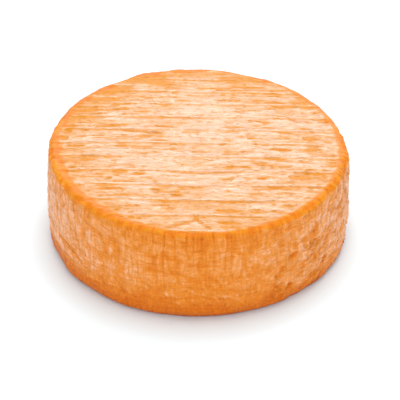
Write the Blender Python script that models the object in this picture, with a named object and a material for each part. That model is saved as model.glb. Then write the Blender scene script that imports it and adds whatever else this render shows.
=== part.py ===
"""A whole washed-rind soft cheese, life size.

Units are metres and +Z is up. The origin is the middle of the flat base, and -Y is the front.

The wheel is one solid. A grid is carried onto the round top, so that its rows run along X as
the marks of the draining mat do. The grid's rim is extruded down over a rounded shoulder, a
slightly swollen side and a rounded foot, and the flat base closes the loop that is left. The
rind's relief is then pushed in or out along the surface: mat welts, wrinkles and dents on the
top, and flutes, creases and folds on the side.
"""

import math

import bmesh
import bpy
import numpy as np

# The bare wheel
SHOULDER_RADIUS = 0.0614
FOOT_RADIUS = 0.0625
HEIGHT = 0.0413
SHOULDER_ROUND = 0.0030
FOOT_ROUND = 0.0036
SIDE_SWELL = 0.0007
TOP_RISE_X = -0.0176
TOP_RISE_Y = 0.0192
# Each entry is the number of lobes round the wheel and the share of the radius that their
# cosine and their sine add
OUT_OF_ROUND = ((2, -0.0081, -0.0013), (3, 0.0016, 0.0024))

# Mesh density
TOP_ROWS = 74
TOP_COLUMNS = 22
FLANK_ANGLE = math.radians(68)
SHOULDER_STEPS = 3
SIDE_STEPS = 9
FOOT_STEPS = 3

# Relief of the top
TOP_SWELL_DEPTH = 0.0004
TOP_SWELL_SIZE = 0.024
WELT_PITCH = 0.00995
WELT_OFFSET = 0.0013
WELT_WIDTH = 0.0011
WELT_HEIGHT = 0.00030
WRINKLE_LENGTH = 0.012
WRINKLE_PITCH = 0.0036
WRINKLE_DEPTH = 0.00055
DENT_COUNT = 34
DENT_HALF_LENGTH = (0.003, 0.007)
DENT_HALF_WIDTH = (0.0012, 0.0019)
DENT_DEPTH = (0.0004, 0.0008)
MARK_BOW = 0.55
CREST_RADIUS = 0.0600
CREST_FADE = 0.0035
TROUGH_RADIUS = 0.0555
TROUGH_WIDTH = 0.0022
TROUGH_DEPTH = 0.00025
# The fork-shaped crease near the front edge, as points (x, y)
FRONT_CREASES = (
    ((-0.0005, -0.0485), (-0.0005, -0.0515), (-0.0130, -0.0575)),
    ((-0.0005, -0.0515), (0.0045, -0.0570)),
    ((-0.0300, -0.0500), (-0.0220, -0.0545), (-0.0130, -0.0575)),
)
FRONT_CREASE_WIDTH = 0.0010
FRONT_CREASE_DEPTH = 0.0006

# Relief of the shoulder and the side
NICK_COUNT = 62
NICK_DEPTH = 0.00022
FLUTE_COUNT = 84
FLUTE_DEPTH = 0.00030
FLUTE_FADE_HEIGHT = 0.012
BUCKLE_COUNT = 30
BUCKLE_HEIGHT = 0.0065
BUCKLE_DEPTH = 0.00080
BUCKLE_FADE_HEIGHT = 0.026
# Creases and folds of the side, as points (angle in degrees from +X, height)
LEFT_CREASES = (
    ((-170, 0.0150), (-155, 0.0157), (-143, 0.0149), (-137, 0.0134), (-126, 0.0131), (-117, 0.0110)),
    ((-157, 0.0140), (-144, 0.0118), (-135, 0.0076), (-128, 0.0050)),
)
RIGHT_FOLDS = (
    ((-6, 0.0195), (-20, 0.0215), (-29, 0.0190), (-40, 0.0135), (-52, 0.0120)),
    ((-14, 0.0300), (-26, 0.0270), (-34, 0.0225), (-45, 0.0185), (-57, 0.0185)),
    ((-2, 0.0120), (-18, 0.0125), (-30, 0.0100), (-41, 0.0070)),
)
BACK_CREASES = (
    ((38, 0.0170), (55, 0.0150), (74, 0.0160), (96, 0.0140)),
    ((108, 0.0240), (124, 0.0215), (141, 0.0225)),
)
CREASE_WIDTH = 0.0017
CREASE_DEPTH = 0.0009
FOLD_WIDTH = 0.0019
FOLD_DEPTH = 0.0010
# Lumps and flats of the upper edge, as (angle in degrees from +X, how far they stand out)
EDGE_LUMPS = ((125, -0.0016), (113, 0.0006), (-5, 0.0009), (68, -0.0006))
LUMP_WIDTH = 0.0055
LUMP_HEIGHT = 0.0100
SHOULDER_DENT_ANGLE = -30.5
SHOULDER_DENT_HEIGHT = 0.0385
SHOULDER_DENT_RADIUS = 0.0040
SHOULDER_DENT_DEPTH = 0.0010

SEED = 4127
NOISE_CELLS = 64


def profile_rows():
    """Rows of the side from the shoulder to the base: (radius, height, lean of the normal)."""
    rows = []
    for step in range(1, SHOULDER_STEPS + 1):
        turn = math.pi / 2 * step / SHOULDER_STEPS
        radius = SHOULDER_RADIUS - SHOULDER_ROUND * (1 - math.sin(turn))
        height = HEIGHT - SHOULDER_ROUND * (1 - math.cos(turn))
        rows.append((radius, height, math.pi / 2 - turn))
    for step in range(1, SIDE_STEPS + 1):
        down = step / SIDE_STEPS
        radius = SHOULDER_RADIUS + (FOOT_RADIUS - SHOULDER_RADIUS) * down
        radius += SIDE_SWELL * 4 * down * (1 - down)
        height = (HEIGHT - SHOULDER_ROUND) * (1 - down) + FOOT_ROUND * down
        rows.append((radius, height, 0.0))
    for step in range(1, FOOT_STEPS + 1):
        turn = math.pi / 2 * step / FOOT_STEPS
        radius = FOOT_RADIUS - FOOT_ROUND * (1 - math.cos(turn))
        height = FOOT_ROUND * (1 - math.sin(turn))
        rows.append((radius, height, -turn))
    return rows


def on_disc(u, v):
    """A point of the square -1..1 carried onto the unit disc, with rows of equal v along X.

    The square's left and right sides become the arcs within FLANK_ANGLE of the X axis, and its
    other two sides the short arcs at the front and the back.
    """
    flank = 0.5 * (v * FLANK_ANGLE + math.asin(v * math.sin(FLANK_ANGLE)))
    end = u * (math.pi / 2 - FLANK_ANGLE)
    x = u * math.cos(flank) + math.sin(end) - u * math.cos(FLANK_ANGLE)
    y = math.sin(flank) + v * math.cos(end) - v * math.sin(FLANK_ANGLE)
    return x, y


def bare_wheel():
    """The closed wheel without relief, with the lean of its surface kept on each vertex."""
    wheel = bmesh.new()
    lean = wheel.verts.layers.float.new("lean")
    bmesh.ops.create_grid(wheel, x_segments=TOP_COLUMNS, y_segments=TOP_ROWS, size=1)
    flat_radius = SHOULDER_RADIUS - SHOULDER_ROUND
    for vert in wheel.verts:
        u = min(max(vert.co.x, -1.0), 1.0)
        v = min(max(vert.co.y, -1.0), 1.0)
        x, y = on_disc(u, v)
        vert.co = (x * flat_radius, y * flat_radius, HEIGHT)
        vert[lean] = math.pi / 2
    rim = [edge for edge in wheel.edges if edge.is_boundary]
    for radius, height, row_lean in profile_rows():
        made = bmesh.ops.extrude_edge_only(wheel, edges=rim)["geom"]
        for vert in made:
            if isinstance(vert, bmesh.types.BMVert):
                out = math.atan2(vert.co.y, vert.co.x)
                vert.co = (radius * math.cos(out), radius * math.sin(out), height)
                vert[lean] = row_lean
        rim = [edge for edge in made if isinstance(edge, bmesh.types.BMEdge) and edge.is_boundary]
    bmesh.ops.contextual_create(wheel, geom=rim)
    bmesh.ops.recalc_face_normals(wheel, faces=wheel.faces)
    return wheel


def soft_noise(across, up, layer, cells_round=NOISE_CELLS):
    """A smooth random field from -1 to 1 with a bump about every unit of across and up.

    The values at whole numbers come from a seeded table and are eased between. The field
    repeats every cells_round units across, so it closes round the wheel.
    """
    table = np.random.default_rng(SEED + layer).uniform(-1, 1, (cells_round, NOISE_CELLS))
    column = np.floor(across).astype(int)
    row = np.floor(up).astype(int)
    ease_across = across - column
    ease_across = ease_across * ease_across * (3 - 2 * ease_across)
    ease_up = up - row
    ease_up = ease_up * ease_up * (3 - 2 * ease_up)
    left = column % cells_round
    right = (column + 1) % cells_round
    below = row % NOISE_CELLS
    above = (row + 1) % NOISE_CELLS
    low = table[left, below] * (1 - ease_across) + table[right, below] * ease_across
    high = table[left, above] * (1 - ease_across) + table[right, above] * ease_across
    return low * (1 - ease_up) + high * ease_up


def distance_to_line(x, y, points):
    """The least distance from each (x, y) to the open line through the points."""
    least = np.full(x.shape, np.inf)
    for (x0, y0), (x1, y1) in zip(points, points[1:]):
        along_x = x1 - x0
        along_y = y1 - y0
        share = ((x - x0) * along_x + (y - y0) * along_y) / (along_x**2 + along_y**2)
        share = np.clip(share, 0, 1)
        least = np.minimum(least, np.hypot(x - x0 - share * along_x, y - y0 - share * along_y))
    return least


def bell(distance, width):
    """One at no distance, and fading to nothing past about two widths."""
    return np.exp(-((distance / width) ** 2))


def dents():
    """Random lens-shaped dents of the top: (x, y, half length, half width, depth)."""
    angle, spread, long, wide, deep = np.random.default_rng(SEED).uniform(0, 1, (5, DENT_COUNT))
    radius = TROUGH_RADIUS * np.sqrt(spread)
    sizes = [
        low + (high - low) * share
        for (low, high), share in (
            (DENT_HALF_LENGTH, long),
            (DENT_HALF_WIDTH, wide),
            (DENT_DEPTH, deep),
        )
    ]
    turn = 2 * math.pi * angle
    return np.column_stack((radius * np.cos(turn), radius * np.sin(turn), *sizes))


def top_relief(x, y):
    """How far the rind of the top stands out at (x, y)."""
    height = TOP_SWELL_DEPTH * soft_noise(x / TOP_SWELL_SIZE + 9, y / TOP_SWELL_SIZE + 9, 1)
    from_welt = (y - WELT_OFFSET + WELT_PITCH / 2) % WELT_PITCH - WELT_PITCH / 2
    height += WELT_HEIGHT * bell(from_welt, WELT_WIDTH)
    wrinkle = soft_noise(x / WRINKLE_LENGTH + 20, y / WRINKLE_PITCH + 30, 2)
    height -= WRINKLE_DEPTH * np.maximum(wrinkle, 0)
    bowed = y + MARK_BOW * x * x
    for dent_x, dent_y, half_length, half_width, depth in dents():
        share = ((x - dent_x) / half_length) ** 2 + ((bowed - dent_y) / half_width) ** 2
        height -= depth * np.maximum(1 - share, 0)
    for points in FRONT_CREASES:
        height -= FRONT_CREASE_DEPTH * bell(distance_to_line(x, y, points), FRONT_CREASE_WIDTH)
    radius = np.hypot(x, y)
    height -= TROUGH_DEPTH * bell(radius - TROUGH_RADIUS, TROUGH_WIDTH)
    return height * np.clip((CREST_RADIUS - radius) / CREST_FADE, 0, 1)


def side_relief(angle, height):
    """How far the rind of the side stands out at an angle round the wheel and a height."""
    turns = angle / (2 * math.pi)
    upper = np.clip((height - FLUTE_FADE_HEIGHT) / (HEIGHT - FLUTE_FADE_HEIGHT), 0, 1)
    out = FLUTE_DEPTH * upper * soft_noise(turns * FLUTE_COUNT, height / HEIGHT, 3, FLUTE_COUNT)
    lower = np.clip((BUCKLE_FADE_HEIGHT - height) / BUCKLE_FADE_HEIGHT, 0, 1)
    buckle = soft_noise(turns * BUCKLE_COUNT, height / BUCKLE_HEIGHT, 4, BUCKLE_COUNT)
    out += BUCKLE_DEPTH * lower * buckle
    along = angle * FOOT_RADIUS
    for lines, width, depth in (
        (LEFT_CREASES + BACK_CREASES, CREASE_WIDTH, CREASE_DEPTH),
        (RIGHT_FOLDS, FOLD_WIDTH, FOLD_DEPTH),
    ):
        for line in lines:
            unrolled = [(math.radians(degrees) * FOOT_RADIUS, level) for degrees, level in line]
            out -= depth * bell(distance_to_line(along, height, unrolled), width)
    for degrees, rise in EDGE_LUMPS:
        from_lump = along - math.radians(degrees) * FOOT_RADIUS
        out += rise * bell(from_lump, LUMP_WIDTH) * bell(height - HEIGHT, LUMP_HEIGHT)
    dent_along = math.radians(SHOULDER_DENT_ANGLE) * FOOT_RADIUS
    from_dent = np.hypot(along - dent_along, height - SHOULDER_DENT_HEIGHT)
    out -= SHOULDER_DENT_DEPTH * bell(from_dent, SHOULDER_DENT_RADIUS)
    return out


def shoulder_relief(angle):
    """How far the nicked edge round the top stands out at an angle round the wheel."""
    turns = angle / (2 * math.pi)
    return NICK_DEPTH * soft_noise(turns * NICK_COUNT, np.zeros_like(turns), 5, NICK_COUNT)


def add_rind(mesh):
    """Push every vertex along the surface by the relief, then make the wheel out of round."""
    points = np.empty(len(mesh.vertices) * 3)
    mesh.vertices.foreach_get("co", points)
    points = points.reshape(-1, 3)
    lean = np.empty(len(mesh.vertices))
    mesh.attributes["lean"].data.foreach_get("value", lean)
    x, y, z = points.T
    angle = np.arctan2(y, x)
    facing_up = np.maximum(np.sin(lean), 0)
    facing_out = np.maximum(np.cos(lean), 0)
    relief = facing_up * top_relief(x, y) + facing_out * side_relief(angle, z)
    relief += facing_up * facing_out * 2 * shoulder_relief(angle)
    radius = np.hypot(x, y) + relief * facing_out
    z = z + relief * np.where(lean < 0, 0, facing_up)
    for lobes, cosine_share, sine_share in OUT_OF_ROUND:
        radius = radius * (1 + cosine_share * np.cos(lobes * angle) + sine_share * np.sin(lobes * angle))
    x = radius * np.cos(angle)
    y = radius * np.sin(angle)
    z = z * (1 + (TOP_RISE_X * x + TOP_RISE_Y * y) / HEIGHT)
    x = x - (x.max() + x.min()) / 2
    y = y - (y.max() + y.min()) / 2
    mesh.vertices.foreach_set("co", np.column_stack((x, y, z)).ravel())
    mesh.attributes.remove(mesh.attributes["lean"])
    mesh.update()


def rind_material():
    """Moist orange rind."""
    material = bpy.data.materials.new("orange_rind")
    material.use_nodes = True
    shader = material.node_tree.nodes["Principled BSDF"]
    shader.inputs["Base Color"].default_value = (0.88, 0.42, 0.13, 1)
    shader.inputs["Roughness"].default_value = 0.34
    shader.inputs["Metallic"].default_value = 0
    return material


def cheese_wheel(collection):
    """The whole cheese, as one object."""
    wheel = bare_wheel()
    mesh = bpy.data.meshes.new("cheese_wheel")
    wheel.to_mesh(mesh)
    wheel.free()
    add_rind(mesh)
    mesh.shade_smooth()
    mesh.materials.append(rind_material())
    thing = bpy.data.objects.new("cheese_wheel", mesh)
    collection.objects.link(thing)
    return thing


def main():
    for thing in list(bpy.data.objects):
        bpy.data.objects.remove(thing)
    collection = bpy.data.collections.new("washed_rind_cheese")
    bpy.context.scene.collection.children.link(collection)
    cheese_wheel(collection)


main()
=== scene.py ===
"""Looks of a whole washed-rind soft cheese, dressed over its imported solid.

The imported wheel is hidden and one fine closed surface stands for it. Its top is a grid whose
rows run along X, its side hangs from the rim of that grid, and a coarser grid closes the base.
Relief fields push the surface in and out, and the same fields leave masks on the vertices
that the rind's material reads for its colour. The wheel stands on a pale floor in soft light.
"""

import logging
import math
from dataclasses import dataclass
from enum import Enum

import bpy
import numpy as np
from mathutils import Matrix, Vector


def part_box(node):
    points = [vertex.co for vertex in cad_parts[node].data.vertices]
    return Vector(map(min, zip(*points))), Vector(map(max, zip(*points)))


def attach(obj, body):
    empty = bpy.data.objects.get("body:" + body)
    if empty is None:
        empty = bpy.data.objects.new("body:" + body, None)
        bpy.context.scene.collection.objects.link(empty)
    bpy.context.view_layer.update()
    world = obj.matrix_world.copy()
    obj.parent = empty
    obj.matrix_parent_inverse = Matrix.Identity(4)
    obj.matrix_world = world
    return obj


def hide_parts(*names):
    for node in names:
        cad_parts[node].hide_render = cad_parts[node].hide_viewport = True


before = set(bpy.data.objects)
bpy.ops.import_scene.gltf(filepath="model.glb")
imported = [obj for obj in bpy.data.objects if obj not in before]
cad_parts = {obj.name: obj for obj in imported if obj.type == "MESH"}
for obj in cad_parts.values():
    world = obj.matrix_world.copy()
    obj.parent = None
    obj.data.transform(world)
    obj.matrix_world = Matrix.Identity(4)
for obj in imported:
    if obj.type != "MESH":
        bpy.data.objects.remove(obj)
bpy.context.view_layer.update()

LOG = logging.getLogger("cheese")
CAD_NODE = "cheese_wheel"
SEED = 4127
NOISE_CELLS = 64
MM_IN_METRE = 1000

# How far in front of the flanks the back begins, how much calmer the relief of its edge is,
# and how the flanks' share falls off towards front and back
BACK_OFFSET = 0.35
BACK_CALM = 0.7
FLANK_POWER = 0.8

# A dent's lens, the lip round it and the pigment in it, with its own half sizes as one
LENS_STEEPNESS = 1.6
LIP_SHARE = 0.30
LIP_PLACE = 1.5
LIP_WIDTH = 0.6
LIP_END = 1.7
# How much deeper a dent's pigment is drawn at its near edge: painted shade
NEAR_EDGE_SHADE = 0.5
TINT_STEEPNESS = 1.4
SHALLOW_TINT = 0.4

# Surfaces that lean further down than this belong to the flat base, in radians
BASE_LEAN = -1.57

# The shader noise's middle value, and how thin its hairlines are
NOISE_MIDDLE = 0.5
HAIR_THINNESS = 22.0

Triple = tuple[float, float, float]
Colour = tuple[float, float, float]
Ramp = tuple[tuple[float, Colour], ...]
Line = tuple[tuple[float, float], ...]


class Mask(Enum):
    """Names of the vertex attributes that the relief leaves for the material."""

    # Pigment share, which carries painted light too: welt and ridge highlights, flank sheen, bead
    # caps, shade at dent edges and the foot
    PIGMENT_AND_PAINTED_LIGHT = "pigment"
    CROWN = "crown"
    RIM = "rim"
    # Fine light and dark: partly random tone, partly painted shade of the fine relief
    GRAIN_AND_SHADE = "grain_and_shade"


def eased(share: np.ndarray) -> np.ndarray:
    """Smooth step: 3 s^2 - 2 s^3 of a share held between 0 and 1."""
    held = np.clip(share, 0.0, 1.0)
    return held * held * (3.0 - 2.0 * held)


def bell(distance: np.ndarray, width: float) -> np.ndarray:
    """Gaussian bell exp(-(d / w)^2): one at no distance, gone past two widths."""
    return np.exp(-((distance / width) ** 2))


def soft_noise(across: np.ndarray, up: np.ndarray, layer: int,
               cells_round: int = NOISE_CELLS) -> np.ndarray:
    """Smooth random field of -1..1 with about one bump in every unit of across and up.

    Random values stand at the whole numbers and are eased between, by
    lerp(lerp(a, b, s(fx)), lerp(c, d, s(fx)), s(fy)) with s the smooth step.

    Args:
        across: first coordinate, in cells.
        up: second coordinate, in cells.
        layer: which table of values is drawn.
        cells_round: the field repeats after this many cells across.

    Returns:
        The field at each point.
    """
    table = np.random.default_rng(SEED + layer).uniform(-1, 1, (cells_round, NOISE_CELLS))
    column = np.floor(across).astype(int)
    row = np.floor(up).astype(int)
    ease_across = eased(across - column)
    ease_up = eased(up - row)
    left, right = column % cells_round, (column + 1) % cells_round
    below, above = row % NOISE_CELLS, (row + 1) % NOISE_CELLS
    low = table[left, below] * (1 - ease_across) + table[right, below] * ease_across
    high = table[left, above] * (1 - ease_across) + table[right, above] * ease_across
    return low * (1 - ease_up) + high * ease_up


def distance_to_line(x: np.ndarray, y: np.ndarray, points: Line) -> np.ndarray:
    """Least distance from each (x, y) to the open line through the points.

    For each stretch a..b the nearest point is a + t (b - a), with
    t = ((p - a).(b - a)) / |b - a|^2 held between 0 and 1.

    Args:
        x: first coordinate of the points asked for.
        y: second coordinate.
        points: corners of the line.

    Returns:
        The distance at each point.
    """
    least = np.full(x.shape, np.inf)
    for (x0, y0), (x1, y1) in zip(points, points[1:]):
        along_x, along_y = x1 - x0, y1 - y0
        share = ((x - x0) * along_x + (y - y0) * along_y) / (along_x**2 + along_y**2)
        share = np.clip(share, 0, 1)
        least = np.minimum(least, np.hypot(x - x0 - share * along_x, y - y0 - share * along_y))
    return least


def placed(name: str, data: bpy.types.ID) -> bpy.types.Object:
    """A new object of the data, linked to the scene.

    Args:
        name: name of the object.
        data: its mesh, lamp or camera.

    Returns:
        The object.
    """
    thing = bpy.data.objects.new(name, data)
    bpy.context.scene.collection.objects.link(thing)
    return thing


@dataclass(frozen=True)
class FlatNoise:
    """Soft noise over the top, in cells of one length along X and one pitch across."""

    length: float
    pitch: float
    layer: int
    shift: tuple[int, int]

    def field(self, x: np.ndarray, y: np.ndarray) -> np.ndarray:
        """The noise at each point, -1 to 1."""
        return soft_noise(x / self.length + self.shift[0], y / self.pitch + self.shift[1], self.layer)


@dataclass(frozen=True)
class RoundNoise:
    """Soft noise that closes on itself after a whole number of cells round the wheel."""

    count: int
    pitch: float
    layer: int
    lift: int = 0

    def field(self, turns: np.ndarray, height: np.ndarray,
              slide: np.ndarray | float = 0.0) -> np.ndarray:
        """The noise at each point, -1 to 1, with its cells slid round by a share of a cell."""
        return soft_noise(turns * self.count + slide, height / self.pitch + self.lift, self.layer,
                          self.count)


@dataclass(frozen=True)
class Facing:
    """How far points round the wheel face its flanks, left, right and back, as shares."""

    flanks: np.ndarray
    left: np.ndarray
    right: np.ndarray
    back: np.ndarray

    @classmethod
    def of(cls, angle: np.ndarray, right_offset: float = 0.0) -> "Facing":
        """The facing of directions round the wheel.

        The flanks' share is |cos|^0.8 and the others are smooth steps of -cos, cos and sin,
        where an offset begins the step that much earlier.

        Args:
            angle: direction round the wheel, in radians from +X.
            right_offset: how much earlier the right begins.

        Returns:
            The shares at each direction.
        """
        across = np.cos(angle)
        return cls(np.abs(across) ** FLANK_POWER, eased(-across), eased(across + right_offset),
                   eased(np.sin(angle) + BACK_OFFSET))

    def faded(self) -> "Facing":
        """The same with left and right fading out towards the back."""
        return Facing(self.flanks, self.left * (1 - self.back), self.right * (1 - self.back),
                      self.back)


@dataclass(frozen=True)
class Sided:
    """A number in front, and what the flanks, the left, the right and the back add to it."""

    front: float
    flanks: float = 0.0
    left: float = 0.0
    right: float = 0.0
    back: float = 0.0

    def at(self, facing: Facing) -> np.ndarray:
        """The number at each point."""
        return (self.front + self.flanks * facing.flanks + self.left * facing.left
                + self.right * facing.right + self.back * facing.back)


@dataclass(frozen=True)
class WheelForm:
    """Sizes of the bare wheel in metres, and the steps of its rings."""

    shoulder_radius: float = 0.0614
    foot_radius: float = 0.0625
    height: float = 0.0413
    shoulder_round: float = 0.0030
    foot_round: float = 0.0036
    side_swell: float = 0.0007
    top_rise_x: float = -0.0176
    top_rise_y: float = 0.0192
    out_of_round: tuple[tuple[int, float, float], ...] = (
        (2, -0.0081, -0.0013), (3, 0.0016, 0.0024))
    shoulder_steps: int = 9
    side_steps: int = 45
    foot_steps: int = 5

    def flat_radius(self) -> float:
        """Radius of the flat part of the top."""
        return self.shoulder_radius - self.shoulder_round

    def side_rows(self) -> np.ndarray:
        """Rows down the side: radius, height and lean of the normal.

        The shoulder and the foot are quarter circles. The side between them runs straight
        from the shoulder's radius to the foot's and swells by 4 s (1 - s) of side_swell.

        Returns:
            One row of three numbers for each ring, from the top down.
        """
        turn = np.linspace(0, math.pi / 2, self.shoulder_steps + 1)[1:]
        shoulder = np.column_stack((
            self.shoulder_radius - self.shoulder_round * (1 - np.sin(turn)),
            self.height - self.shoulder_round * (1 - np.cos(turn)),
            math.pi / 2 - turn))
        down = np.linspace(0, 1, self.side_steps + 1)[1:]
        spread = self.foot_radius - self.shoulder_radius
        side = np.column_stack((
            self.shoulder_radius + spread * down + self.side_swell * 4 * down * (1 - down),
            (self.height - self.shoulder_round) * (1 - down) + self.foot_round * down,
            np.zeros_like(down)))
        turn = np.linspace(0, math.pi / 2, self.foot_steps + 1)[1:]
        foot = np.column_stack((
            self.foot_radius - self.foot_round * (1 - np.cos(turn)),
            self.foot_round * (1 - np.sin(turn)),
            -turn))
        return np.vstack((shoulder, side, foot))

    def settled(self, points: np.ndarray) -> np.ndarray:
        """The points made out of round and tilted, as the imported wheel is.

        The radius grows by a cos(k t) + b sin(k t) for each entry of out_of_round, and the
        height by its share of the top's rise.

        Args:
            points: positions, one row each.

        Returns:
            The moved positions, still about the wheel's own axis.
        """
        angle = np.arctan2(points[:, 1], points[:, 0])
        radius = np.hypot(points[:, 0], points[:, 1])
        for lobes, cosine_share, sine_share in self.out_of_round:
            radius = radius * (1 + cosine_share * np.cos(lobes * angle)
                               + sine_share * np.sin(lobes * angle))
        x, y = radius * np.cos(angle), radius * np.sin(angle)
        rise = 1 + (self.top_rise_x * x + self.top_rise_y * y) / self.height
        return np.column_stack((x, y, points[:, 2] * rise))


@dataclass(frozen=True)
class Spots:
    """Points round a bare wheel: directions in radians from +X and heights above its base."""

    angle: np.ndarray
    height: np.ndarray
    form: WheelForm

    @property
    def turns(self) -> np.ndarray:
        """Directions in turns."""
        return self.angle / (2 * math.pi)

    def way_from(self, degrees: float) -> np.ndarray:
        """Way round the foot from a direction, in metres."""
        return (self.angle - math.radians(degrees)) * self.form.foot_radius

    def distance(self, line: Line, drop: float = 0.0) -> np.ndarray:
        """Least distance on the unrolled side to a line of (degrees, height) moved down."""
        unrolled = tuple((math.radians(a) * self.form.foot_radius, z - drop) for a, z in line)
        return distance_to_line(self.angle * self.form.foot_radius, self.height, unrolled)


@dataclass(frozen=True)
class DiscGrid:
    """A grid of rows along X carried onto a disc."""

    columns: int
    rows: int
    flank_angle: float = math.radians(68)

    def points(self) -> np.ndarray:
        """Unit-disc positions, row by row from the front.

        A blend of the disc's four arcs: with f = (v F + asin(v sin F)) / 2 and
        e = u (pi / 2 - F), x = u cos f + sin e - u cos F and y = sin f + v cos e - v sin F.

        Returns:
            One (x, y) for each vertex.
        """
        u, v = np.meshgrid(np.linspace(-1, 1, self.columns + 1), np.linspace(-1, 1, self.rows + 1))
        flank = 0.5 * (v * self.flank_angle + np.arcsin(v * math.sin(self.flank_angle)))
        end = u * (math.pi / 2 - self.flank_angle)
        x = u * np.cos(flank) + np.sin(end) - u * math.cos(self.flank_angle)
        y = np.sin(flank) + v * np.cos(end) - v * math.sin(self.flank_angle)
        return np.column_stack((x.ravel(), y.ravel()))

    def index(self) -> np.ndarray:
        """Indices of the vertices, laid out as the grid is."""
        return np.arange((self.rows + 1) * (self.columns + 1)).reshape(self.rows + 1, -1)

    def loop(self) -> np.ndarray:
        """Indices of the rim's vertices, anticlockwise from the front left corner."""
        index = self.index()
        return np.concatenate((index[0, :-1], index[:-1, -1], index[-1, :0:-1], index[:0:-1, 0]))

    def faces(self) -> np.ndarray:
        """Quads that face up."""
        index = self.index()
        return np.column_stack((index[:-1, :-1].ravel(), index[:-1, 1:].ravel(),
                                index[1:, 1:].ravel(), index[1:, :-1].ravel()))


def press_dents(x: np.ndarray, y: np.ndarray, rows: np.ndarray, height: np.ndarray,
                hollow: np.ndarray, tint: float) -> None:
    """Press lens-shaped dents into the height and add them to the hollows, in place.

    With r = (x/a)^2 + (y/b)^2 and q = sqrt(1 - r), a dent's depth share is q made steeper at
    its border by a smooth step of q. Its lip is a bell in r just outside, and its pigment
    is deepened at its near edge as painted shade.

    Args:
        x: position along the dents.
        y: position across them.
        rows: (x, y, half length, half width, depth) of each dent.
        height: relief in metres, changed.
        hollow: pigment share, changed.
        tint: pigment share that the deepest dent adds.
    """
    deepest = rows[:, 4].max()
    for dent_x, dent_y, half_length, half_width, depth in rows:
        near = np.flatnonzero((np.abs(x - dent_x) < LIP_END * half_length)
                              & (np.abs(y - dent_y) < LIP_END * half_width))
        reach = ((x[near] - dent_x) / half_length) ** 2 + ((y[near] - dent_y) / half_width) ** 2
        inside = np.sqrt(np.maximum(1 - reach, 0))
        lens = inside * eased(inside * LENS_STEEPNESS)
        height[near] += depth * (LIP_SHARE * bell(reach - LIP_PLACE, LIP_WIDTH) - lens)
        # Painted shade: deeper pigment towards the dent's near edge
        front = 1 - NEAR_EDGE_SHADE * (y[near] - dent_y) / half_width
        strength = SHALLOW_TINT + (1 - SHALLOW_TINT) * depth / deepest
        hollow[near] += tint * eased(inside * TINT_STEEPNESS) * front * strength


@dataclass(frozen=True)
class Dents:
    """A scatter of lens-shaped dents that lie along X, sizes in metres."""

    count: int
    seed: int
    reach: float
    half_length: tuple[float, float]
    half_width: tuple[float, float]
    depth: tuple[float, float]
    flank_pull: float = 0.0
    left_share: float = 0.5
    short_share: float = 1.0

    def drawn(self) -> np.ndarray:
        """The dents, drawn over the disc and pulled towards its flanks, less to the left.

        Lengths are low + (high - low) t^k for an even t, with k the short_share, so that a
        larger k leaves more short ones.

        Returns:
            One row of (x, y, half length, half width, depth) for each.
        """
        draw = np.random.default_rng(self.seed)
        angle, spread, long, wide, deep = draw.uniform(0, 1, (5, self.count))
        radius = self.reach * np.sqrt(spread)
        x, y = radius * np.cos(2 * math.pi * angle), radius * np.sin(2 * math.pi * angle)
        side = np.where(x > 0, 1, -self.left_share)
        x += self.flank_pull * (1 - (x / self.reach) ** 2) * self.reach * side
        sizes = [low + (high - low) * share for (low, high), share in (
            (self.half_length, long**self.short_share), (self.half_width, wide),
            (self.depth, deep))]
        return np.column_stack((x, y, *sizes))


# The boldest dents of the top, as (x, y, half length, half width) in millimetres
BOLD_DENTS = (
    (7, 44, 9, 0.9), (14, 34, 5, 0.9), (-33, 43.5, 6, 1.8), (-47, 25, 7.5, 1.3), (47, 5.6, 4.2, 1.8),
    (47, -2, 2.6, 1.1), (41, -22.6, 5, 1.9), (40, -29, 3.2, 1.1), (12.4, -45.5, 6, 1.0),
    (-34.4, -32.3, 6, 0.9), (14.2, 13.2, 4.6, 0.8), (-13.2, 13.3, 3.8, 0.8), (-3.1, 8.9, 4.2, 0.9),
    (25.7, -23.7, 2, 1.0), (29.9, -29.2, 2.2, 1.2), (36, 21, 4, 1.1), (24, 26, 3.4, 0.9),
    (33, 33, 4.4, 1.2), (-56, 4.4, 2.5, 1.4), (48, -8.6, 2.1, 0.9),
)

# Deeper orange patches at the edge of the top, in the same way
DEEP_PATCHES = (
    (-25.5, 50.0, 15.0, 5.0), (-43.0, 33.5, 13.0, 2.2), (-54.0, 14.0, 3.0, 6.0),
    (24.0, 52.5, 16.0, 2.4), (44.0, 34.0, 6.0, 3.0), (-34.0, 41.5, 8.0, 1.6),
)


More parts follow.
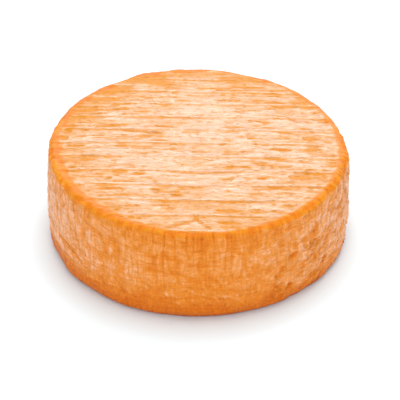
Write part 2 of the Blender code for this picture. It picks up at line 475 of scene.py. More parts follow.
@dataclass(frozen=True)
class TopRelief:
    """Mat welts, wrinkles, strokes, specks, dents and creases of the top.

    Lengths are in metres. A tint is the pigment that a form gathers, as a share.
    """

    arch: float = 0.55
    swell: FlatNoise = FlatNoise(0.024, 0.024, 1, (9, 9))
    swell_depth: float = 0.0004
    wander: FlatNoise = FlatNoise(0.017, 0.009, 14, (5, 5))
    wander_reach: float = 0.0006
    wrinkles: FlatNoise = FlatNoise(0.012, 0.0036, 2, (20, 30))
    wrinkle_depth: float = 0.00036
    wrinkle_tint: float = 0.16
    lines: FlatNoise = FlatNoise(0.0120, 0.0018, 11, (7, 50))
    line_depth: float = 0.00020
    line_floor: float = -0.2
    stroke_start: float = 0.22
    stroke_rise: float = 0.30
    stroke_share: float = 0.5
    stroke_tint: float = 0.24
    crumbs: FlatNoise = FlatNoise(0.0020, 0.0012, 12, (31, 90))
    crumb_depth: float = 0.00006
    speck_start: float = 0.25
    speck_tint: float = 0.08
    broad: Dents = Dents(34, SEED, 0.0555, (0.003, 0.007), (0.0012, 0.0019), (0.0002, 0.0004))
    broad_tint: float = 0.30
    small: Dents = Dents(
        430, SEED + 31, 0.0575, (0.0009, 0.0052), (0.00045, 0.0010), (0.00012, 0.00042),
        flank_pull=0.16, short_share=1.8)
    small_tint: float = 0.62
    bold_depth: float = 0.00050
    bold_tint: float = 0.72
    welt_pitch: float = 0.00995
    welt_offset: float = 0.0013
    welt_width: float = 0.00052
    welt_height: float = 0.00042
    welt_cover: float = 0.6
    welt_tint_cover: float = 0.85
    # A painted highlight along each welt, and painted shade along its near side
    welt_painted_highlight: float = 0.40
    welt_painted_shade: float = 0.42
    welt_shade_place: float = 1.9
    creases: tuple[Line, ...] = (
        ((-0.0005, -0.0485), (-0.0005, -0.0515), (-0.0130, -0.0575)),
        ((-0.0005, -0.0515), (0.0045, -0.0570)),
        ((-0.0300, -0.0500), (-0.0220, -0.0545), (-0.0130, -0.0575)),
    )
    crease_width: float = 0.00065
    crease_depth: float = 0.00060
    crease_tint: float = 0.50
    back_calm: float = 0.28
    back_reach: float = 0.045
    crest_radius: float = 0.0600
    crest_fade: float = 0.0035
    trough_radius: float = 0.0555
    trough_width: float = 0.0022
    trough_depth: float = 0.00025
    least_pigment: float = 0.03
    mottle: FlatNoise = FlatNoise(0.012, 0.005, 15, (13, 17))
    mottle_tint: float = 0.06
    edge_start: float = 0.030
    edge_width: float = 0.028
    edge_tint: float = 0.28
    edge_mottle: float = 0.30
    edge_right_fade: float = 0.55
    edge_right_reach: float = 0.05
    patch_tint: float = 0.52
    patch_reach: float = 1.25
    patch_mottle: float = 0.3
    patch_softness: float = 0.5
    back_start: float = 0.005
    back_tint: float = 0.06
    back_left_tint: float = 0.05
    back_tint_reach: float = 0.03

    def marks(self, x: np.ndarray, y: np.ndarray) -> tuple[np.ndarray, np.ndarray]:
        """Swell, wrinkles, strokes, specks and dents.

        The wrinkles are the upper half of a noise stretched along X. Strokes and specks are
        smooth steps of two finer ones, drawn on y + arch x^2 as the dents are, so that they
        bow. They also wander a little across X.

        Args:
            x: position along the mat marks.
            y: position across them.

        Returns:
            The height in metres and the pigment that its hollows gather.
        """
        bowed = y + self.arch * x * x
        wavy = bowed + self.wander_reach * self.wander.field(x, y)
        wrinkle = np.maximum(self.wrinkles.field(x, y), 0)
        line = self.lines.field(x, wavy)
        crumb = self.crumbs.field(x, wavy)
        stroke = eased((line - self.stroke_start) / self.stroke_rise)
        speck = eased((crumb - self.speck_start) / self.stroke_rise)
        height = self.swell_depth * self.swell.field(x, y)
        height -= self.wrinkle_depth * wrinkle
        height -= self.line_depth * (np.maximum(line, self.line_floor) + self.stroke_share * stroke)
        height -= self.crumb_depth * (crumb + speck)
        hollow = self.wrinkle_tint * wrinkle + self.stroke_tint * stroke + self.speck_tint * speck
        bold = np.array([(*(size / MM_IN_METRE for size in row), self.bold_depth)
                         for row in BOLD_DENTS])
        bold[:, 1] += self.arch * bold[:, 0] ** 2
        for rows, tint in ((self.broad.drawn(), self.broad_tint),
                           (self.small.drawn(), self.small_tint), (bold, self.bold_tint)):
            press_dents(x, bowed, rows, height, hollow, tint)
        return height, hollow

    def welted(self, y: np.ndarray, height: np.ndarray,
               hollow: np.ndarray) -> tuple[np.ndarray, np.ndarray]:
        """Mat welts at equal pitch: a painted highlight on each, painted shade on its near side.

        Args:
            y: position across the mat marks.
            height: relief without the welts.
            hollow: pigment without the welts.

        Returns:
            The height and the pigment with the welts.
        """
        half_pitch = self.welt_pitch / 2
        away = (y - self.welt_offset + half_pitch) % self.welt_pitch - half_pitch
        welt = bell(away, self.welt_width)
        height = height * (1 - self.welt_cover * welt) + self.welt_height * welt
        # Painted highlight along the welt, painted shade along its near side
        hollow = hollow * (1 - self.welt_tint_cover * welt) - self.welt_painted_highlight * welt
        hollow += self.welt_painted_shade * bell(away + self.welt_shade_place * self.welt_width,
                                         self.welt_width)
        return height, hollow

    def tinted(self, x: np.ndarray, y: np.ndarray, hollow: np.ndarray) -> np.ndarray:
        """Pigment of the whole top.

        To the hollows come a mottled ring that deepens towards the edge and fades on the
        right, the deep patches with mottled borders, and a step at the back.

        Args:
            x: position along the mat marks.
            y: position across them.
            hollow: pigment that the relief gathers.

        Returns:
            The pigment as a share.
        """
        mottle = self.mottle.field(x, y)
        edge = (eased((np.hypot(x, y) - self.edge_start) / self.edge_width)
                * (self.edge_tint + self.edge_mottle * mottle)
                * (1 - self.edge_right_fade * eased(x / self.edge_right_reach)))
        for row in DEEP_PATCHES:
            across, up, half_length, half_width = (size / MM_IN_METRE for size in row)
            reach = np.hypot((x - across) / half_length, (y - up) / half_width)
            share = (self.patch_reach + self.patch_mottle * mottle - reach) / self.patch_softness
            hollow = hollow + self.patch_tint * eased(share)
        pigment = self.least_pigment + hollow + edge + self.mottle_tint * mottle
        leftwards = eased(0.5 - x / self.back_tint_reach)
        backwards = eased((y - self.back_start) / self.back_tint_reach)
        pigment += (self.back_tint + self.back_left_tint * leftwards) * backwards
        return np.clip(pigment, 0, 1)

    def fields(self, x: np.ndarray, y: np.ndarray) -> tuple[np.ndarray, np.ndarray]:
        """Relief and pigment of the top.

        The marks with their welts and creases grow calmer at the back and end at the crest,
        inside which a shallow trough runs round.

        Args:
            x: position along the mat marks.
            y: position across them.

        Returns:
            The height in metres and the pigment as a share.
        """
        height, hollow = self.welted(y, *self.marks(x, y))
        for points in self.creases:
            crease = bell(distance_to_line(x, y, points), self.crease_width)
            height -= self.crease_depth * crease
            hollow += self.crease_tint * crease
        radius = np.hypot(x, y)
        height *= 1 - self.back_calm * eased(y / self.back_reach)
        height *= eased((self.crest_radius - radius) / self.crest_fade)
        height -= self.trough_depth * bell(radius - self.trough_radius, self.trough_width)
        return height, self.tinted(x, y, hollow)


@dataclass(frozen=True)
class SideRelief:
    """Ribs, threads, buckles, net, creases and pits of the side.

    Lengths are in metres, directions in degrees from +X and buckled_reach in radians. A lift
    is how much a form that stands out lightens the rind, as a share, partly as its own paler
    tone and partly as a painted highlight.
    """

    right_offset: float = 0.4
    fade_height: float = 0.010
    flutes: RoundNoise = RoundNoise(84, 0.0413, 3)
    flute_depth: float = 0.00024
    flute_lift: float = 0.08
    rib_noise: RoundNoise = RoundNoise(178, 0.009, 21)
    rib_sway: RoundNoise = RoundNoise(64, 0.0045, 23)
    sway_reach: float = 0.35
    ripple_count: int = 270
    ripple_share: float = 0.2
    ripple_bend: float = 1.5
    rib_depth: float = 0.00022
    rib_low_share: float = 0.25
    rib_rise: float = 1.6
    rib_left_gain: float = 0.35
    rib_lift: float = 0.44
    calm_height: float = 0.033
    calm_fade: float = 0.004
    band_height: float = 1.4
    band_rise: float = 2.6
    gap_depth: float = 0.9
    threads: RoundNoise = RoundNoise(44, 0.0023, 22)
    thread_depth: float = 0.00026
    thread_lift: Sided = Sided(0.44, flanks=-0.16)
    buckles: RoundNoise = RoundNoise(30, 0.0065, 4)
    buckle_depth: float = 0.00065
    buckle_fade: float = 0.026
    buckle_lift: float = 0.12
    crumples: RoundNoise = RoundNoise(92, 0.0031, 24, 40)
    crumple_gaps: RoundNoise = RoundNoise(92, 0.0031, 32, 11)
    crumple_depth: float = 0.00055
    crumple_lift: Sided = Sided(0.60, left=-0.2, right=-0.12)
    crinkles: RoundNoise = RoundNoise(116, 0.0015, 25, 40)
    crinkle_gaps: RoundNoise = RoundNoise(116, 0.0015, 33, 11)
    crinkle_depth: float = 0.00025
    crinkle_lift: Sided = Sided(1.10, flanks=-0.45)
    net_slope: float = 0.40
    ridge_fall: float = 4.8
    ridge_floor: float = -0.30
    gap_start: float = 0.66
    gap_share: float = 0.8
    net_low: Sided = Sided(0.6, left=-0.35, right=0.4)
    net_fade: float = 1.8
    net_least: float = 0.10
    net_top_fade: float = 0.006
    net_foot_fade: float = 0.004
    buckled_angle: float = -139.0
    buckled_reach: float = 0.30
    buckled_height: float = 0.0105
    buckled_width: float = 0.0055
    buckled_share: float = 0.75
    creases: tuple[Line, ...] = (
        ((-170, 0.0150), (-155, 0.0157), (-143, 0.0149), (-137, 0.0134)),
        ((38, 0.0170), (55, 0.0150), (74, 0.0160), (96, 0.0140)),
        ((108, 0.0240), (124, 0.0215), (141, 0.0225)),
    )
    crease_width: float = 0.0007
    crease_depth: float = 0.0008
    crease_shade: float = 0.8
    roll_drop: float = 0.0026
    roll_width: float = 0.0017
    roll_height: float = 0.0003
    roll_lift: float = 0.40
    pit_angle: float = -36.0
    pit_level: float = 0.0175
    pit_spread: float = 0.4
    pit_tint: float = 0.65
    pit_deepest: float = 0.75
    pits: Dents = Dents(110, SEED + 77, 0.038, (0.0010, 0.0030), (0.0005, 0.0012), (0.0003, 0.0008))
    edge_lumps: tuple[tuple[float, float], ...] = (
        (125, -0.0016), (113, 0.0006), (-5, 0.0009), (68, -0.0006))
    lump_width: float = 0.0055
    lump_height: float = 0.0100
    dent_angle: float = -30.5
    dent_height: float = 0.0385
    dent_radius: float = 0.0030
    dent_depth: float = 0.0010
    middle_pigment: float = 0.53
    # Painted sheen: how much paler the flanks are drawn, and the left a little more
    painted_flank_sheen: Sided = Sided(0.28, right=0.05)
    painted_left_sheen: float = 0.06
    # Forms that stand out drawn paler: partly the rind's own tone, partly a painted highlight
    stand_paleness: Sided = Sided(0.48, flanks=-0.11)
    low_evenness: float = 0.4
    upper_band: float = 0.009
    upper_rise: float = 0.005
    upper_tint: float = 0.12
    low_height: float = 0.0160
    low_narrowing: float = 0.0070
    low_tint: Sided = Sided(0.52, left=0.05)
    most_pigment: float = 0.84
    # Painted contact shade: a darker line at the foot, its height and its strength
    foot_shade_height: float = 0.0040
    foot_painted_shade: float = 0.17

    def banded(self, noise: np.ndarray) -> np.ndarray:
        """Broad bands with thin gaps between, 1.4 min(2.6 |noise|, 1) - 0.9."""
        return self.band_height * np.minimum(self.band_rise * np.abs(noise), 1) - self.gap_depth

    def ribs(self, spots: Spots) -> np.ndarray:
        """Upright bands that sway a little, with fine ripples on them at the front.

        The ripples are sin(angle)^4 cos(270 angle), bent by the noise of the ribs.

        Args:
            spots: points of the side.

        Returns:
            -0.9 in the gaps, about 0.5 on the ribs.
        """
        sway = self.sway_reach * self.rib_sway.field(spots.turns, spots.height)
        noise = self.rib_noise.field(spots.turns, spots.height, sway)
        wave = np.cos(self.ripple_count * spots.angle + self.ripple_bend * noise)
        return self.banded(noise) + self.ripple_share * np.sin(spots.angle) ** 4 * wave

    def net(self, turns: np.ndarray, skewed: np.ndarray, ridges: RoundNoise,
            gaps: RoundNoise) -> np.ndarray:
        """Net of thin ridges, 1 - 4.8 |noise| held above -0.3, broken up by a second noise.

        Args:
            turns: direction round the wheel, in turns.
            skewed: height above the base, slid along the slope of the net.
            ridges: the noise that is nought along the ridges.
            gaps: the noise that breaks them up.

        Returns:
            One on the ridges, below zero between them.
        """
        net = np.maximum(1 - self.ridge_fall * np.abs(ridges.field(turns, skewed)), self.ridge_floor)
        return net * eased(self.gap_start + self.gap_share * gaps.field(turns, skewed))

    def net_share(self, spots: Spots, upper: np.ndarray, facing: Facing) -> np.ndarray:
        """Strength of the net: all of the right flank, low down elsewhere, one buckled patch.

        Args:
            spots: points of the side.
            upper: share of the way up the side.
            facing: how far each point faces each side.

        Returns:
            The share at each point, nought at the very foot and edge.
        """
        share = np.maximum(facing.flanks * facing.right,
                           self.net_low.at(facing) * (1 - upper * self.net_fade))
        buckled = bell(spots.angle - math.radians(self.buckled_angle), self.buckled_reach)
        buckled *= bell(spots.height - self.buckled_height, self.buckled_width)
        share = np.maximum(share, 0) * (1 - self.net_least) + self.net_least
        share += self.buckled_share * buckled
        share *= eased((spots.form.height - spots.height) / self.net_top_fade)
        return share * eased(spots.height / self.net_foot_fade)

    def press_marks(self, spots: Spots, relief: np.ndarray, stand: np.ndarray) -> None:
        """Press the creases and the slanted pits of the right flank, in place.

        A crease is a bell-shaped groove along a line, with a soft roll below it; the groove
        is drawn deeper as painted shade and the roll paler as a painted highlight. The pits lie
        along the slope of the net.

        Args:
            spots: points of the side.
            relief: outward relief, changed.
            stand: how far the rind stands out, as a share, changed.
        """
        for line in self.creases:
            groove = bell(spots.distance(line), self.crease_width)
            roll = bell(spots.distance(line, self.roll_drop), self.roll_width)
            relief += self.roll_height * roll
            relief -= self.crease_depth * groove
            # Painted highlight on the roll, painted shade in the groove
            stand += self.roll_lift * roll - self.crease_shade * groove
        pits = self.pits.drawn()
        pits[:, 1] = self.pit_level + self.pit_spread * pits[:, 1]
        hollow = np.zeros_like(stand)
        away = spots.way_from(self.pit_angle)
        press_dents(away, spots.height - self.net_slope * away, pits, relief, hollow, self.pit_tint)
        stand -= np.minimum(hollow, self.pit_deepest)

    def uneven_edge(self, spots: Spots) -> np.ndarray:
        """Lumps and low spots of the edge and its one dent, as bells.

        Args:
            spots: points of the side.

        Returns:
            The relief in metres.
        """
        at_edge = bell(spots.height - spots.form.height, self.lump_height)
        away = np.hypot(spots.way_from(self.dent_angle), spots.height - self.dent_height)
        relief = -self.dent_depth * bell(away, self.dent_radius)
        for degrees, rise in self.edge_lumps:
            relief += rise * bell(spots.way_from(degrees), self.lump_width) * at_edge
        return relief

    def tinted(self, spots: Spots, stand: np.ndarray, facing: Facing) -> np.ndarray:
        """Pigment of the side.

        It is paler on the flanks, where a painted sheen lies, and where the rind stands out,
        partly its own tone and partly a painted highlight. It is deeper near the edge, in a band
        low down that is narrower on the right, and in a line of painted contact shade at the foot.

        Args:
            spots: points of the side.
            stand: how far the rind stands out, as a share.
            facing: how far each point faces each side.

        Returns:
            The pigment as a share.
        """
        low_height = self.low_height - self.low_narrowing * facing.flanks * facing.right
        low = eased(1 - spots.height / low_height)
        # Paler on the flanks and the left: a painted sheen
        paler = self.painted_flank_sheen.at(facing) * facing.flanks + self.painted_left_sheen * facing.left
        pigment = self.middle_pigment - paler * (1 - low)
        # Paler where the rind stands out: partly its own tone, partly a painted highlight
        pigment -= self.stand_paleness.at(facing) * stand * (1 - self.low_evenness * low)
        pigment += self.upper_tint * eased(
            (spots.height - spots.form.height + self.upper_band) / self.upper_rise)
        pigment = np.clip(pigment + self.low_tint.at(facing) * low, 0, self.most_pigment)
        # A line of painted contact shade at the foot
        return pigment + self.foot_painted_shade * eased(1 - spots.height / self.foot_shade_height)

    def fields(self, spots: Spots) -> tuple[np.ndarray, np.ndarray]:
        """Relief and pigment of the side.

        Outward relief is the sum of flutes and ribs that fade downwards and are calmer along
        the back edge, level threads, buckles that fade upwards, two nets of thin ridges, the
        creases and pits, and the uneven edge.

        Args:
            spots: points of the side.

        Returns:
            The relief in metres and the pigment as a share.
        """
        facing = Facing.of(spots.angle, self.right_offset)
        turns, height, form = spots.turns, spots.height, spots.form
        upper = np.clip((height - self.fade_height) / (form.height - self.fade_height), 0, 1)
        lower = np.clip((self.buckle_fade - height) / self.buckle_fade, 0, 1)
        rib_share = self.rib_low_share + (1 - self.rib_low_share) * eased(upper * self.rib_rise)
        rib_share *= 1 + self.rib_left_gain * facing.left
        calm = 1 - BACK_CALM * facing.back * eased((height - self.calm_height) / self.calm_fade)
        flute = upper * self.flutes.field(turns, height)
        rib = rib_share * self.ribs(spots)
        thread = self.banded(self.threads.field(turns, height))
        buckle = lower * self.buckles.field(turns, height)
        skewed = height - self.net_slope * form.foot_radius * np.sin(spots.angle) * facing.right
        share = self.net_share(spots, upper, facing)
        crumple = self.net(turns, skewed, self.crumples, self.crumple_gaps) * share
        crinkle = self.net(turns, skewed, self.crinkles, self.crinkle_gaps) * share
        relief = self.flute_depth * flute + self.rib_depth * rib * calm
        relief += self.thread_depth * thread + self.buckle_depth * buckle
        relief += self.crumple_depth * crumple + self.crinkle_depth * crinkle
        stand = self.rib_lift * rib + self.thread_lift.at(facing) * thread
        stand += self.crumple_lift.at(facing) * np.maximum(crumple, 0)
        stand += self.crinkle_lift.at(facing) * crinkle
        stand += self.buckle_lift * buckle + self.flute_lift * flute
        self.press_marks(spots, relief, stand)
        return relief + self.uneven_edge(spots), self.tinted(spots, stand, facing)


@dataclass(frozen=True)
class ShoulderRelief:
    """Beads and nicks of the edge between top and side."""

    nicks: RoundNoise = RoundNoise(62, 1.0, 5)
    nick_depth: float = 0.00014
    bead_depth: float = 0.00024

    def fields(self, spots: Spots, ribs: np.ndarray) -> tuple[np.ndarray, np.ndarray]:
        """Relief round the edge, and its painted light and shade.

        The side's ribs run up over the edge and end there as beads, on a slower noise of
        nicks. Both are calmer at the back. A painted highlight pales the bead caps and painted
        shade deepens the gaps between them.

        Args:
            spots: points of the edge.
            ribs: the side's ribs at the same points.

        Returns:
            The relief in metres, and the painted light and shade as pigment from -1 to 1.
        """
        nicks = self.nicks.field(spots.turns, np.zeros_like(ribs))
        calm = 1 - BACK_CALM * Facing.of(spots.angle).back
        return (self.nick_depth * nicks + self.bead_depth * ribs) * calm, -ribs


@dataclass(frozen=True)
class AmberEdge:
    """Where the amber of the edge lies: a ring with ragged borders, wider on the flanks."""

    ragged: RoundNoise = RoundNoise(90, 0.003, 28)
    ragged_least: float = 0.0005
    ragged_gain: float = 0.0008
    ragged_back: float = 1.6
    inset: Sided = Sided(-0.0007, left=0.0034, right=0.0016, back=0.0018)
    inner_fade: float = 0.0009
    drop: Sided = Sided(0.9, left=0.25, right=0.15, back=-0.15)
    ragged_drop: float = 300.0
    outer_fade: float = 0.6

    def share(self, spots: Spots, radius: np.ndarray) -> np.ndarray:
        """Share of amber at each point.

        It rises over inner_fade where the radius passes the flat top less the inset, and
        falls again where the drop below the top, in shoulder rounds, passes its own limit.
        A noise moves both borders, most at the back.

        Args:
            spots: points of the wheel.
            radius: their distance from the axis.

        Returns:
            The share, nought below the foot's round.
        """
        facing, form = Facing.of(spots.angle), spots.form
        reach = self.ragged_gain * np.maximum(self.ragged_back * facing.back, facing.left)
        ragged = self.ragged.field(spots.turns, radius) * (self.ragged_least + reach)
        inset = self.inset.at(facing.faded())
        inner = eased((radius + ragged + inset - form.flat_radius()) / self.inner_fade)
        drop = (form.height - spots.height) / form.shoulder_round
        lowest = self.drop.at(facing.faded()) + self.ragged_drop * ragged
        return inner * eased((lowest - drop) / self.outer_fade) * (spots.height > form.foot_round)


@dataclass(frozen=True)
class BaseRelief:
    """Shallow mat marks pressed up into the underside."""

    groove_pitch: float = 0.0050
    groove_width: float = 0.0009
    groove_depth: float = 0.00030
    margin: float = 0.006

    def height(self, x: np.ndarray, y: np.ndarray, reach: float) -> np.ndarray:
        """Bells along lines of equal y, eased out towards the foot.

        Args:
            x: position along the marks.
            y: position across them.
            reach: radius where the flat base ends.

        Returns:
            The rise of the underside in metres, never below zero.
        """
        from_groove = (y + self.groove_pitch / 2) % self.groove_pitch - self.groove_pitch / 2
        fade = eased((reach - np.hypot(x, y)) / self.margin)
        return self.groove_depth * bell(from_groove, self.groove_width) * fade


@dataclass(frozen=True)
class CheeseWheel:
    """The whole cheese as one closed surface with its masks."""

    form: WheelForm = WheelForm()
    top: TopRelief = TopRelief()
    side: SideRelief = SideRelief()
    shoulder: ShoulderRelief = ShoulderRelief()
    amber: AmberEdge = AmberEdge()
    base: BaseRelief = BaseRelief()
    top_columns: int = 158
    top_rows: int = 250
    sole_share: float = 0.985
    crown_start: float = 0.60
    crown_rise: float = 0.35
    # How strongly the painted highlight on the bead caps and the painted shade in their gaps show
    edge_tint: float = 0.45
    # How strongly fine light and dark lie on top, front and flanks: partly random tone, partly
    # painted shade
    grain_and_shade_top: float = 0.32
    grain_and_shade_front: float = 0.4
    grain_and_shade_power: float = 1.5
    grain_and_shade_calm: float = 0.6
    name: str = "cheese_rind"

    def bare_points(self) -> tuple[np.ndarray, np.ndarray, DiscGrid, DiscGrid]:
        """Positions and leans of the bare wheel: top grid, side rings, then base grid.

        Returns:
            The positions, the lean of the surface at each, and the grids of top and base.
        """
        crown = DiscGrid(self.top_columns, self.top_rows)
        under = DiscGrid(self.top_columns // 2, self.top_rows // 2)
        flat = crown.points() * self.form.flat_radius()
        top = np.column_stack((flat, np.full(len(flat), self.form.height)))
        rim = flat[crown.loop()]
        angle = np.arctan2(rim[:, 1], rim[:, 0])
        rows = self.form.side_rows()
        radius, height, lean = (np.repeat(column, len(angle)) for column in rows.T)
        around = np.tile(angle, len(rows))
        side = np.column_stack((radius * np.cos(around), radius * np.sin(around), height))
        base_radius = (self.form.foot_radius - self.form.foot_round) * self.sole_share
        sole = under.points() * base_radius
        base = np.column_stack((sole, np.zeros(len(sole))))
        leans = np.concatenate((
            np.full(len(top), math.pi / 2), lean, np.full(len(base), -math.pi / 2)))
        return np.vstack((top, side, base)), leans, crown, under

    def faces(self, crown: DiscGrid, under: DiscGrid) -> list[np.ndarray]:
        """Faces of the closed surface, all facing outwards.

        The base grid's rim has half as many vertices as the side's rings, so each of its
        edges meets two of theirs in three triangles.

        Args:
            crown: the top's grid.
            under: the base's grid.

        Returns:
            The quads and the triangles.
        """
        rings = len(self.form.side_rows())
        loop = crown.loop()
        count = len(loop)
        first_side = (crown.rows + 1) * (crown.columns + 1)
        first_base = first_side + rings * count
        ring = np.vstack((loop, first_side + np.arange(rings * count).reshape(rings, count)))
        after = np.roll(ring, -1, axis=1)
        walls = np.column_stack((ring[:-1].ravel(), ring[1:].ravel(), after[1:].ravel(),
                                 after[:-1].ravel()))
        sole = under.faces()[:, ::-1] + first_base
        outer = ring[-1]
        inner = under.loop() + first_base
        even, odd, next_even = outer[0::2], outer[1::2], np.roll(outer, -2)[0::2]
        next_inner = np.roll(inner, -1)
        seam = np.vstack((np.column_stack((even, inner, odd)),
                          np.column_stack((odd, inner, next_inner)),
                          np.column_stack((odd, next_inner, next_even))))
        return [np.vstack((crown.faces(), walls, sole)), seam]

    def shaped(self, points: np.ndarray,
               lean: np.ndarray) -> tuple[np.ndarray, dict[Mask, np.ndarray]]:
        """Relief pushed along the surface, and the masks that go with it.

        Each point moves by h n, with n = (cos lean, sin lean) in the plane through the axis
        and h = sin(lean) top + cos(lean) side + 2 sin(lean) cos(lean) edge, where the lean
        is upwards. The base moves up only. The crown is where the surface leans well
        upwards. The grain_and_shade mask, partly random fine tone and partly painted shade of
        the fine relief, is strongest on the flanks and weaker along the amber edge.

        Args:
            points: the bare wheel.
            lean: lean of the surface at each point.

        Returns:
            The moved points and one array for each mask.
        """
        x, y, z = points.T
        angle, flat = np.arctan2(y, x), np.hypot(x, y)
        spots = Spots(angle, z, self.form)
        facing_up = np.maximum(np.sin(lean), 0)
        facing_out = np.maximum(np.cos(lean), 0)
        on_edge = 2 * facing_up * facing_out
        top_height, top_pigment_and_light = self.top.fields(x, y)
        side_height, side_pigment_and_light = self.side.fields(spots)
        # Painted light and shade of the edge's beads: paler caps, deeper gaps
        edge_height, edge_light_and_shade = self.shoulder.fields(spots, self.side.ribs(spots))
        relief = facing_up * top_height + facing_out * side_height + on_edge * edge_height
        radius = flat + relief * facing_out
        height = z + np.where(lean < 0, 0, relief * facing_up)
        base = self.base.height(x, y, self.form.foot_radius - self.form.foot_round)
        height = np.where(lean < BASE_LEAN, base, height)
        moved = np.column_stack((radius * np.cos(angle), radius * np.sin(angle), height))
        crown = eased((facing_up - self.crown_start) / self.crown_rise)
        rim = self.amber.share(spots, flat)
        # Pigment with its painted light: highlights, sheen and shade drawn into the colour
        pigment = crown * top_pigment_and_light + (1 - crown) * side_pigment_and_light
        # Fine light and dark, strongest on the flanks: partly painted shade of the fine relief
        flanks = np.abs(np.cos(angle)) ** self.grain_and_shade_power
        side_grain_and_shade = self.grain_and_shade_front + (1 - self.grain_and_shade_front) * flanks
        masks = {
            Mask.PIGMENT_AND_PAINTED_LIGHT: np.clip(pigment + self.edge_tint * on_edge * edge_light_and_shade, 0, 1),
            Mask.CROWN: crown,
            Mask.RIM: rim,
            Mask.GRAIN_AND_SHADE: (self.grain_and_shade_top * crown
                         + (1 - crown) * side_grain_and_shade * (1 - self.grain_and_shade_calm * rim)),
        }
        return moved, masks

    def build(self) -> bpy.types.Object:
        """Make the surface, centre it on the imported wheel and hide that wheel.

        Returns:
            The dressed wheel, without its material.
        """
        points, lean, crown, under = self.bare_points()
        points, masks = self.shaped(points, lean)
        points = self.form.settled(points)
        low, high = (np.array(corner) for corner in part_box(CAD_NODE))
        middle = (points.max(axis=0) + points.min(axis=0)) / 2
        points[:, :2] += ((low + high) / 2 - middle)[:2]
        mesh = bpy.data.meshes.new(self.name)
        faces = [face for group in self.faces(crown, under) for face in group.tolist()]
        mesh.from_pydata(points.tolist(), [], faces)
        for mask, values in masks.items():
            layer = mesh.attributes.new(mask.value, "FLOAT", "POINT")
            layer.data.foreach_set("value", np.ascontiguousarray(values, dtype=np.float32))
        mesh.shade_smooth()
        mesh.update()
        thing = placed(self.name, mesh)
        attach(thing, "root")
        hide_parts(CAD_NODE)
        return thing


class NodeBench:
    """Places and joins nodes of one tree."""

    def __init__(self, tree: bpy.types.NodeTree) -> None:
        """Keep the tree to work on."""
        self.tree = tree

    def add(self, kind: str, inputs: dict[str | int, object] | None = None,
            **settings: object) -> bpy.types.Node:
        """Add a node.

        Args:
            kind: Blender's name of the node type.
            inputs: for each input, a value or the output socket that feeds it.
            settings: properties of the node.

        Returns:
            The new node.
        """
        node = self.tree.nodes.new(kind)
        for name, value in settings.items():
            setattr(node, name, value)
        for name, value in (inputs or {}).items():
            if isinstance(value, bpy.types.NodeSocket):
                self.tree.links.new(value, node.inputs[name])
            else:
                node.inputs[name].default_value = value
        return node

    def mix(self, share: object, first: object, second: object) -> bpy.types.NodeSocket:
        """Colour between first and second."""
        return self.add("ShaderNodeMix", {0: share, 6: first, 7: second},
                        data_type="RGBA").outputs[2]

    def blend(self, share: object, first: object, second: object) -> bpy.types.NodeSocket:
        """Number between first and second."""
        return self.add("ShaderNodeMix", {0: share, 2: first, 3: second}).outputs[0]

    def math(self, operation: str, first: object, second: object = 0.0,
             held: bool = False) -> bpy.types.NodeSocket:
        """Result of one sum, held between 0 and 1 where asked."""
        return self.add("ShaderNodeMath", {0: first, 1: second}, operation=operation,
                        use_clamp=held).outputs[0]

    def past(self, value: object, start: object, factor: object,
             held: bool = False) -> bpy.types.NodeSocket:
        """How far a value is past a start, times a factor."""
        return self.math("MULTIPLY", self.math("SUBTRACT", value, start), factor, held)

    def mask(self, mask: Mask) -> bpy.types.NodeSocket:
        """A vertex mask of the piece."""
        return self.add("ShaderNodeAttribute", attribute_name=mask.value).outputs["Fac"]


def streak_group() -> bpy.types.ShaderNodeTree:
    """Group of fine streaks and hairlines on coordinates stretched by Scale.

    Streaks are noise about 0.5 made stronger by Contrast. Hairlines are 1 - 22 |noise - 0.5|,
    thin lines where a second noise crosses its middle, broken up by the streaks.

    Returns:
        The group's tree.
    """
    tree = bpy.data.node_groups.new("fine_streaks", "ShaderNodeTree")
    for name, direction, kind in (("Coordinates", "INPUT", "Vector"), ("Scale", "INPUT", "Vector"),
                                  ("Contrast", "INPUT", "Float"), ("Height", "OUTPUT", "Float"),
                                  ("Hairlines", "OUTPUT", "Float")):
        tree.interface.new_socket(name, in_out=direction, socket_type=f"NodeSocket{kind}")
    bench = NodeBench(tree)
    entry = bench.add("NodeGroupInput").outputs
    stretched = bench.add("ShaderNodeVectorMath", {0: entry["Coordinates"], 1: entry["Scale"]},
                          operation="MULTIPLY").outputs[0]
    noise = bench.add("ShaderNodeTexNoise", {"Vector": stretched, "Scale": 1.0, "Detail": 1.5,
                                             "Roughness": 0.6})
    stronger = bench.past(noise.outputs["Fac"], NOISE_MIDDLE, entry["Contrast"])
    height = bench.math("ADD", stronger, NOISE_MIDDLE, True)
    lines = bench.add("ShaderNodeTexNoise", {"Vector": stretched, "Scale": 0.55, "Detail": 1.0})
    away = bench.math("ABSOLUTE", bench.math("SUBTRACT", lines.outputs["Fac"], NOISE_MIDDLE))
    thin = bench.math("SUBTRACT", 1.0, bench.math("MULTIPLY", away, HAIR_THINNESS), True)
    broken = bench.math("MULTIPLY", thin, bench.math("SUBTRACT", 1.0, height), True)
    bench.add("NodeGroupOutput", {"Height": height, "Hairlines": broken})
    return tree


